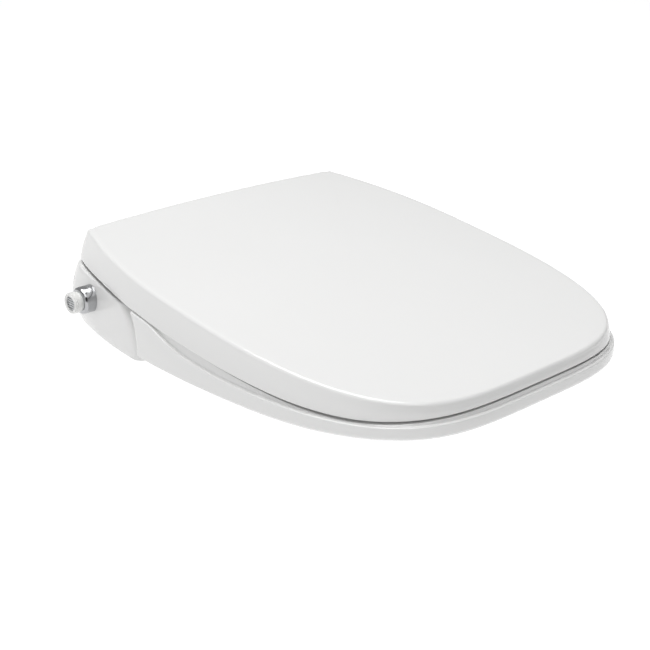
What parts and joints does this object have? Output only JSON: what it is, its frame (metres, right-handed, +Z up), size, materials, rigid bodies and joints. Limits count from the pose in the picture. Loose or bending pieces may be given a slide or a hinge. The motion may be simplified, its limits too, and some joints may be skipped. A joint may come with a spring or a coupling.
{
  "type": "electric bidet seat",
  "caption": "Slim electric bidet seat: flat sloping D-shaped lid over a heated ring, on a rear housing with a sliding wash nozzle and a chrome side water inlet.",
  "frame": {"origin": "midpoint between the two bowl bolt holes, on the plane of the bowl's rim (the underside of the mounting plate)", "axes": "+Z up, -Y to the front of the bowl, +X to the user's left; the water inlet is on -X"},
  "size_m": [0.3926, 0.4633, 0.0979],
  "materials": {
    "gloss_white": "polished moulded white, heavy-gloss urea or polypropylene",
    "satin_white": "fine moulded texture",
    "plate_grey": "fine moulded texture",
    "rubber_clear": "soft translucent",
    "rubber_grey": "soft",
    "chrome": "polished plating",
    "thread_white": "moulded",
    "steel": "turned",
    "foil": "foil",
    "damper_grey": "moulded",
    "heater_black": "moulded",
    "hose_clear": "silicone",
    "board_green": "solder mask",
    "window_smoke": "smoked lens"
  },
  "bodies": {
    "chassis": {"housing_cover": "gloss_white", "housing_base": "satin_white", "mounting_plate": "plate_grey", "base_screws": "steel", "lid_damper": "damper_grey", "seat_damper": "damper_grey", "inlet_body": "chrome", "inlet_seal": "rubber_grey", "inlet_thread": "thread_white", "inlet_filter": "steel", "solenoid_valve": "damper_grey", "flow_sensor": "damper_grey", "water_heater": "heater_black", "heater_element": "steel", "nozzle_hose": "hose_clear", "nozzle_guide": "satin_white", "nozzle_feed_tube": "steel", "nozzle_motor": "steel", "control_board": "board_green", "board_components": "heater_black", "power_supply": "heater_black", "cord_gland": "rubber_grey", "power_switch": "heater_black", "receiver_window": "window_smoke"},
    "seat": {"seat_top": "gloss_white", "seat_base": "satin_white", "seat_heater_foil": "foil", "seat_bumpers": "rubber_grey", "seat_hinge_pin": "steel"},
    "lid": {"lid_shell": "gloss_white", "lid_bumpers": "rubber_clear", "lid_hinge_pin": "steel"},
    "wand": {"nozzle_wand": "satin_white", "nozzle_tip": "steel", "nozzle_gate": "gloss_white", "nozzle_rack": "damper_grey"},
    "pinion": {"nozzle_pinion": "damper_grey"},
    "button": {"power_button": "satin_white"}
  },
  "joints": [
    {"name": "seat_hinge", "type": "hinge", "parent": "chassis", "child": "seat", "pos_m": [0, 0.024, 0.08], "axis": [-1, 0, 0], "range_deg": [0, 93]},
    {"name": "lid_hinge", "type": "hinge", "parent": "seat", "child": "lid", "pos_m": [0, 0.024, 0.08], "axis": [-1, 0, 0], "range_deg": [0, 102]},
    {"name": "nozzle_slide", "type": "slide", "parent": "chassis", "child": "wand", "axis": [0, -0.9659, -0.2588], "range_m": [0, 0.082]},
    {"name": "pinion_spin", "type": "hinge", "parent": "chassis", "child": "pinion", "pos_m": [0.0064, -0.04829, 0.03483], "axis": [-1, 0, 0], "range_deg": [0, 790]},
    {"name": "button_press", "type": "slide", "parent": "chassis", "child": "button", "axis": [-1, 0, 0], "range_m": [0, 0.0025], "stiffness_N_per_m": 400}
  ],
  "couplings": [
    {"joint": "pinion_spin", "follows": "nozzle_slide", "rad_per_m": 166.67}
  ]
}
